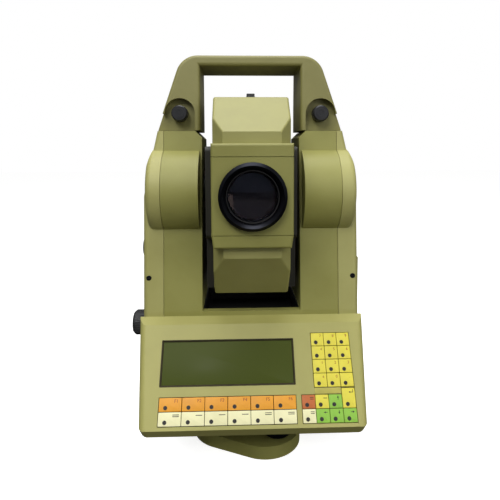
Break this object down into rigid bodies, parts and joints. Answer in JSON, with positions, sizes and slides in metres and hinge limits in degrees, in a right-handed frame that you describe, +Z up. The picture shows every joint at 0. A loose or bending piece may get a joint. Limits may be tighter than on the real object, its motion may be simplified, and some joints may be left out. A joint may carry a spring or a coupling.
{
  "type": "surveying total station",
  "caption": "Electronic total station: tilting telescope in a U-shaped yoke with carrying handle and sloping keyboard with display, turning on a levelling tribrach.",
  "frame": {"origin": "middle of the tripod thread at the underside of the tribrach's ground plate, on the vertical axis", "axes": "+Z up along the vertical axis; -Y towards the keyboard and the objective at rest; X along the tilting axis"},
  "size_m": [0.2062, 0.195, 0.361],
  "materials": {
    "khaki_plastic": "semi-matt, fine grain",
    "cover_plastic": "semi-matt, fine grain",
    "black_plastic": "matt",
    "cast_khaki": "painted, semi-matt, fine grain",
    "black_metal": "black anodised",
    "steel": "turned",
    "brass": "turned",
    "glass": "coated",
    "clear_glass": "clear",
    "lcd": "semi-gloss",
    "key_orange": "semi-gloss",
    "key_cream": "semi-gloss",
    "key_yellow": "semi-gloss",
    "key_green": "semi-gloss",
    "key_red": "semi-gloss"
  },
  "bodies": {
    "tribrach": {"tribrach_base_plate": "cast_khaki", "tribrach_body": "cast_khaki", "circular_level": "clear_glass", "vertical_spindle": "steel", "horizontal_circle": "clear_glass"},
    "alidade": {"yoke_casting": "cast_khaki", "trunnion_bearings": "brass", "left_side_cover": "cover_plastic", "right_side_cover": "cover_plastic", "carry_handle": "khaki_plastic", "keyboard_housing": "khaki_plastic", "display_window": "lcd", "rear_cover": "khaki_plastic"},
    "telescope": {"telescope_body": "cast_khaki", "telescope_covers": "cover_plastic", "objective_ring": "black_metal", "objective_lens": "glass"},
    "battery_pack": {"battery_pack": "cover_plastic"},
    "eyepiece": {"eyepiece": "black_plastic"},
    "focus_ring": {"focus_ring": "black_plastic"},
    "foot_screw_a": {"foot_screw_a": "black_metal"},
    "foot_screw_b": {"foot_screw_b": "black_metal"},
    "foot_screw_c": {"foot_screw_c": "black_metal"},
    "handle_screw_left": {"handle_screw_left": "black_plastic"},
    "handle_screw_right": {"handle_screw_right": "black_plastic"},
    "horizontal_drive_knob": {"horizontal_drive_knob": "black_plastic"},
    "key_clear": {"key_clear": "key_yellow"},
    "key_command_1": {"key_command_1": "key_cream"},
    "key_command_2": {"key_command_2": "key_cream"},
    "key_command_3": {"key_command_3": "key_cream"},
    "key_command_4": {"key_command_4": "key_cream"},
    "key_command_5": {"key_command_5": "key_cream"},
    "key_command_6": {"key_command_6": "key_cream"},
    "key_cursor_down": {"key_cursor_down": "key_green"},
    "key_cursor_left": {"key_cursor_left": "key_green"},
    "key_cursor_right": {"key_cursor_right": "key_green"},
    "key_cursor_up": {"key_cursor_up": "key_green"},
    "key_enter": {"key_enter": "key_yellow"},
    "key_escape": {"key_escape": "key_red"},
    "key_function_1": {"key_function_1": "key_orange"},
    "key_function_2": {"key_function_2": "key_orange"},
    "key_function_3": {"key_function_3": "key_orange"},
    "key_function_4": {"key_function_4": "key_orange"},
    "key_function_5": {"key_function_5": "key_orange"},
    "key_function_6": {"key_function_6": "key_orange"},
    "key_number_1": {"key_number_1": "key_yellow"},
    "key_number_10": {"key_number_10": "key_yellow"},
    "key_number_11": {"key_number_11": "key_yellow"},
    "key_number_12": {"key_number_12": "key_yellow"},
    "key_number_2": {"key_number_2": "key_yellow"},
    "key_number_3": {"key_number_3": "key_yellow"},
    "key_number_4": {"key_number_4": "key_yellow"},
    "key_number_5": {"key_number_5": "key_yellow"},
    "key_number_6": {"key_number_6": "key_yellow"},
    "key_number_7": {"key_number_7": "key_yellow"},
    "key_number_8": {"key_number_8": "key_yellow"},
    "key_number_9": {"key_number_9": "key_yellow"},
    "key_program": {"key_program": "key_cream"},
    "tribrach_lock_knob": {"tribrach_lock_knob": "black_plastic"},
    "vertical_drive_knob": {"vertical_drive_knob": "black_plastic"}
  },
  "joints": [
    {"name": "alidade_turn", "type": "hinge", "parent": "tribrach", "child": "alidade", "pos_m": [0, 0, 0.078], "axis": [0, 0, 1], "continuous": true},
    {"name": "telescope_tilt", "type": "hinge", "parent": "alidade", "child": "telescope", "pos_m": [0, 0, 0.24], "axis": [1, 0, 0], "continuous": true},
    {"name": "focus_turn", "type": "hinge", "parent": "telescope", "child": "focus_ring", "pos_m": [0, 0.073, 0.24], "axis": [0, 1, 0], "range_deg": [-270, 270]},
    {"name": "eyepiece_turn", "type": "hinge", "parent": "telescope", "child": "eyepiece", "pos_m": [0, 0.09, 0.24], "axis": [0, 1, 0], "range_deg": [-180, 180]},
    {"name": "horizontal_drive_turn", "type": "hinge", "parent": "alidade", "child": "horizontal_drive_knob", "pos_m": [-0.101, -0.025, 0.1185], "axis": [1, 0, 0], "continuous": true},
    {"name": "vertical_drive_turn", "type": "hinge", "parent": "alidade", "child": "vertical_drive_knob", "pos_m": [-0.101, 0.027, 0.178], "axis": [1, 0, 0], "continuous": true},
    {"name": "battery_slide", "type": "slide", "parent": "alidade", "child": "battery_pack", "axis": [1, 0, 0], "range_m": [0, 0.06]},
    {"name": "foot_screw_a_turn", "type": "hinge", "parent": "tribrach", "child": "foot_screw_a", "pos_m": [0.02352, -0.03358, 0.0225], "axis": [0, 0, 1], "continuous": true},
    {"name": "foot_screw_b_turn", "type": "hinge", "parent": "tribrach", "child": "foot_screw_b", "pos_m": [0.01733, 0.03716, 0.0225], "axis": [0, 0, 1], "continuous": true},
    {"name": "foot_screw_c_turn", "type": "hinge", "parent": "tribrach", "child": "foot_screw_c", "pos_m": [-0.04084, -0.00357, 0.0225], "axis": [0, 0, 1], "continuous": true},
    {"name": "tribrach_lock_turn", "type": "hinge", "parent": "tribrach", "child": "tribrach_lock_knob", "pos_m": [0.04184, 0.00366, 0.0285], "axis": [0.9962, 0.0872, 0], "range_deg": [0, 180]},
    {"name": "handle_screw_left_turn", "type": "hinge", "parent": "alidade", "child": "handle_screw_left", "pos_m": [-0.063, -0.03, 0.3095], "axis": [0, -1, 0], "continuous": true},
    {"name": "handle_screw_right_turn", "type": "hinge", "parent": "alidade", "child": "handle_screw_right", "pos_m": [0.063, -0.03, 0.3095], "axis": [0, -1, 0], "continuous": true},
    {"name": "press_clear", "type": "slide", "parent": "alidade", "child": "key_clear", "axis": [0, 0.849, -0.5284], "range_m": [0, 0.0005], "stiffness_N_per_m": 300, "springref_m": -0.0015},
    {"name": "press_command_1", "type": "slide", "parent": "alidade", "child": "key_command_1", "axis": [0, 0.849, -0.5284], "range_m": [0, 0.0005], "stiffness_N_per_m": 300, "springref_m": -0.0015},
    {"name": "press_command_2", "type": "slide", "parent": "alidade", "child": "key_command_2", "axis": [0, 0.849, -0.5284], "range_m": [0, 0.0005], "stiffness_N_per_m": 300, "springref_m": -0.0015},
    {"name": "press_command_3", "type": "slide", "parent": "alidade", "child": "key_command_3", "axis": [0, 0.849, -0.5284], "range_m": [0, 0.0005], "stiffness_N_per_m": 300, "springref_m": -0.0015},
    {"name": "press_command_4", "type": "slide", "parent": "alidade", "child": "key_command_4", "axis": [0, 0.849, -0.5284], "range_m": [0, 0.0005], "stiffness_N_per_m": 300, "springref_m": -0.0015},
    {"name": "press_command_5", "type": "slide", "parent": "alidade", "child": "key_command_5", "axis": [0, 0.849, -0.5284], "range_m": [0, 0.0005], "stiffness_N_per_m": 300, "springref_m": -0.0015},
    {"name": "press_command_6", "type": "slide", "parent": "alidade", "child": "key_command_6", "axis": [0, 0.849, -0.5284], "range_m": [0, 0.0005], "stiffness_N_per_m": 300, "springref_m": -0.0015},
    {"name": "press_cursor_down", "type": "slide", "parent": "alidade", "child": "key_cursor_down", "axis": [0, 0.849, -0.5284], "range_m": [0, 0.0005], "stiffness_N_per_m": 300, "springref_m": -0.0015},
    {"name": "press_cursor_left", "type": "slide", "parent": "alidade", "child": "key_cursor_left", "axis": [0, 0.849, -0.5284], "range_m": [0, 0.0005], "stiffness_N_per_m": 300, "springref_m": -0.0015},
    {"name": "press_cursor_right", "type": "slide", "parent": "alidade", "child": "key_cursor_right", "axis": [0, 0.849, -0.5284], "range_m": [0, 0.0005], "stiffness_N_per_m": 300, "springref_m": -0.0015},
    {"name": "press_cursor_up", "type": "slide", "parent": "alidade", "child": "key_cursor_up", "axis": [0, 0.849, -0.5284], "range_m": [0, 0.0005], "stiffness_N_per_m": 300, "springref_m": -0.0015},
    {"name": "press_enter", "type": "slide", "parent": "alidade", "child": "key_enter", "axis": [0, 0.849, -0.5284], "range_m": [0, 0.0005], "stiffness_N_per_m": 300, "springref_m": -0.0015},
    {"name": "press_escape", "type": "slide", "parent": "alidade", "child": "key_escape", "axis": [0, 0.849, -0.5284], "range_m": [0, 0.0005], "stiffness_N_per_m": 300, "springref_m": -0.0015},
    {"name": "press_function_1", "type": "slide", "parent": "alidade", "child": "key_function_1", "axis": [0, 0.849, -0.5284], "range_m": [0, 0.0005], "stiffness_N_per_m": 300, "springref_m": -0.0015},
    {"name": "press_function_2", "type": "slide", "parent": "alidade", "child": "key_function_2", "axis": [0, 0.849, -0.5284], "range_m": [0, 0.0005], "stiffness_N_per_m": 300, "springref_m": -0.0015},
    {"name": "press_function_3", "type": "slide", "parent": "alidade", "child": "key_function_3", "axis": [0, 0.849, -0.5284], "range_m": [0, 0.0005], "stiffness_N_per_m": 300, "springref_m": -0.0015},
    {"name": "press_function_4", "type": "slide", "parent": "alidade", "child": "key_function_4", "axis": [0, 0.849, -0.5284], "range_m": [0, 0.0005], "stiffness_N_per_m": 300, "springref_m": -0.0015},
    {"name": "press_function_5", "type": "slide", "parent": "alidade", "child": "key_function_5", "axis": [0, 0.849, -0.5284], "range_m": [0, 0.0005], "stiffness_N_per_m": 300, "springref_m": -0.0015},
    {"name": "press_function_6", "type": "slide", "parent": "alidade", "child": "key_function_6", "axis": [0, 0.849, -0.5284], "range_m": [0, 0.0005], "stiffness_N_per_m": 300, "springref_m": -0.0015},
    {"name": "press_number_1", "type": "slide", "parent": "alidade", "child": "key_number_1", "axis": [0, 0.849, -0.5284], "range_m": [0, 0.0005], "stiffness_N_per_m": 300, "springref_m": -0.0015},
    {"name": "press_number_2", "type": "slide", "parent": "alidade", "child": "key_number_2", "axis": [0, 0.849, -0.5284], "range_m": [0, 0.0005], "stiffness_N_per_m": 300, "springref_m": -0.0015},
    {"name": "press_number_3", "type": "slide", "parent": "alidade", "child": "key_number_3", "axis": [0, 0.849, -0.5284], "range_m": [0, 0.0005], "stiffness_N_per_m": 300, "springref_m": -0.0015},
    {"name": "press_number_4", "type": "slide", "parent": "alidade", "child": "key_number_4", "axis": [0, 0.849, -0.5284], "range_m": [0, 0.0005], "stiffness_N_per_m": 300, "springref_m": -0.0015},
    {"name": "press_number_5", "type": "slide", "parent": "alidade", "child": "key_number_5", "axis": [0, 0.849, -0.5284], "range_m": [0, 0.0005], "stiffness_N_per_m": 300, "springref_m": -0.0015},
    {"name": "press_number_6", "type": "slide", "parent": "alidade", "child": "key_number_6", "axis": [0, 0.849, -0.5284], "range_m": [0, 0.0005], "stiffness_N_per_m": 300, "springref_m": -0.0015},
    {"name": "press_number_7", "type": "slide", "parent": "alidade", "child": "key_number_7", "axis": [0, 0.849, -0.5284], "range_m": [0, 0.0005], "stiffness_N_per_m": 300, "springref_m": -0.0015},
    {"name": "press_number_8", "type": "slide", "parent": "alidade", "child": "key_number_8", "axis": [0, 0.849, -0.5284], "range_m": [0, 0.0005], "stiffness_N_per_m": 300, "springref_m": -0.0015},
    {"name": "press_number_9", "type": "slide", "parent": "alidade", "child": "key_number_9", "axis": [0, 0.849, -0.5284], "range_m": [0, 0.0005], "stiffness_N_per_m": 300, "springref_m": -0.0015},
    {"name": "press_number_10", "type": "slide", "parent": "alidade", "child": "key_number_10", "axis": [0, 0.849, -0.5284], "range_m": [0, 0.0005], "stiffness_N_per_m": 300, "springref_m": -0.0015},
    {"name": "press_number_11", "type": "slide", "parent": "alidade", "child": "key_number_11", "axis": [0, 0.849, -0.5284], "range_m": [0, 0.0005], "stiffness_N_per_m": 300, "springref_m": -0.0015},
    {"name": "press_number_12", "type": "slide", "parent": "alidade", "child": "key_number_12", "axis": [0, 0.849, -0.5284], "range_m": [0, 0.0005], "stiffness_N_per_m": 300, "springref_m": -0.0015},
    {"name": "press_program", "type": "slide", "parent": "alidade", "child": "key_program", "axis": [0, 0.849, -0.5284], "range_m": [0, 0.0005], "stiffness_N_per_m": 300, "springref_m": -0.0015}
  ]
}
